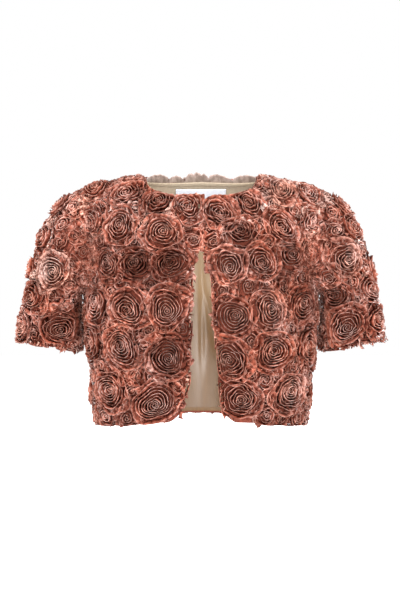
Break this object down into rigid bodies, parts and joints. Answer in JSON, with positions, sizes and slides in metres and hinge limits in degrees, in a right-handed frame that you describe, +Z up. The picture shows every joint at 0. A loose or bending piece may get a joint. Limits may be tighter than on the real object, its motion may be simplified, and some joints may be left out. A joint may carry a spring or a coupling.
{
  "type": "cropped jacket",
  "caption": "Short-sleeved cropped evening jacket covered with spiral ribbon rosettes, open front with hook and eye closures, satin-lined back, hollow worn form.",
  "frame": {"origin": "midway between the wearer's shoulders, where the shoulder seams meet the neckline, which is where the wearer holds the jacket up", "axes": "+X towards the wearer's left, along the sleeve span; +Y towards the wearer's back; +Z up"},
  "size_m": [0.5898, 0.2496, 0.4123],
  "materials": {
    "rosette_ribbon": "copper rose taffeta ribbon with a soft sheen",
    "lining_satin": "champagne satin",
    "label_satin": "white satin, bare",
    "hook_metal": "dulled wire"
  },
  "bodies": {
    "root": {"front_right": "rosette_ribbon", "front_left": "rosette_ribbon", "back": "rosette_ribbon", "sleeve_right": "rosette_ribbon", "sleeve_left": "rosette_ribbon", "back_lining": "lining_satin", "neck_binding": "lining_satin", "neck_label": "label_satin", "neck_petal_1": "rosette_ribbon", "neck_petal_2": "rosette_ribbon", "neck_petal_3": "rosette_ribbon", "neck_petal_4": "rosette_ribbon", "neck_petal_5": "rosette_ribbon", "eye_upper": "hook_metal", "hook_upper": "hook_metal", "eye_lower": "hook_metal", "hook_lower": "hook_metal"}
  },
  "joints": []
}
